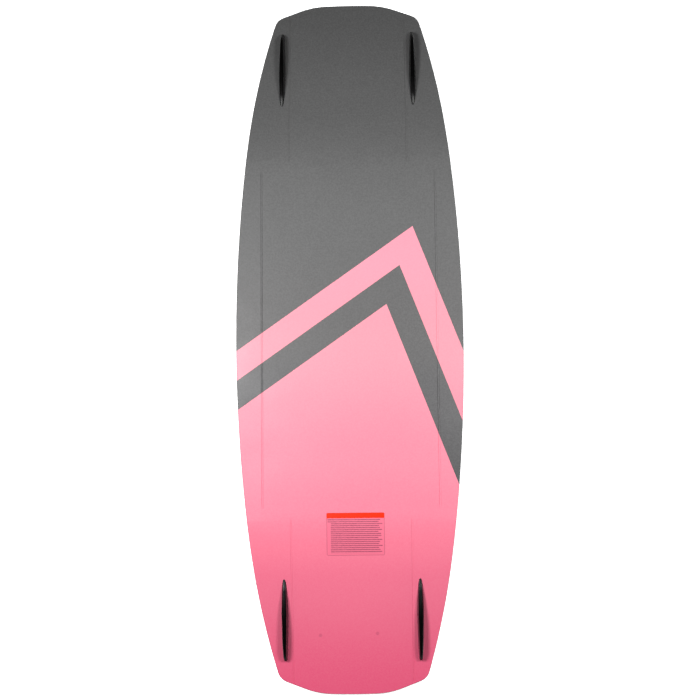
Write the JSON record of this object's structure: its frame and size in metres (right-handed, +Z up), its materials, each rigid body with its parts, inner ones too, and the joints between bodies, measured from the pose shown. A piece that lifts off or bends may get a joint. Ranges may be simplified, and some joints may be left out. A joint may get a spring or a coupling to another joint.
{
  "type": "wakeboard",
  "caption": "Twin-tip wakeboard, base up, with a three-stage rocker, moulded long fins at both tips and threaded binding inserts in the deck.",
  "frame": {"origin": "on the floor, under the middle of the board, which lies base up on the tips of its deck", "axes": "+Z up, out of the base; +Y along the board towards the grey nose; +X across it"},
  "size_m": [0.43, 1.34, 0.0742],
  "materials": {
    "base_sheet": "satin printed polyester, grey fading to pink",
    "base_laminate": "cured glass and resin",
    "foam_core": "closed-cell polyurethane foam",
    "deck_laminate": "cured glass and resin",
    "top_sheet": "satin printed sheet",
    "sidewall": "cast urethane",
    "insert_plate": "dense fibre board",
    "brass": "machined",
    "label": "printed film",
    "steel": "stainless",
    "sleeve": "turned",
    "fin": "gloss moulded nylon"
  },
  "bodies": {
    "root": {"base_sheet": "base_sheet", "base_laminate": "base_laminate", "foam_core": "foam_core", "deck_laminate": "deck_laminate", "top_sheet": "top_sheet", "left_sidewall": "sidewall", "right_sidewall": "sidewall", "nose_sidewall": "sidewall", "tail_sidewall": "sidewall", "nose_insert_plate": "insert_plate", "tail_insert_plate": "insert_plate", "nose_binding_inserts": "brass", "tail_binding_inserts": "brass", "info_label": "label", "fin_bolt_sleeves": "sleeve", "fin_bolt_washers": "steel", "fin_bolts": "steel", "fin_inserts": "brass", "nose_left_fin": "fin", "nose_right_fin": "fin", "tail_left_fin": "fin", "tail_right_fin": "fin"}
  },
  "joints": []
}
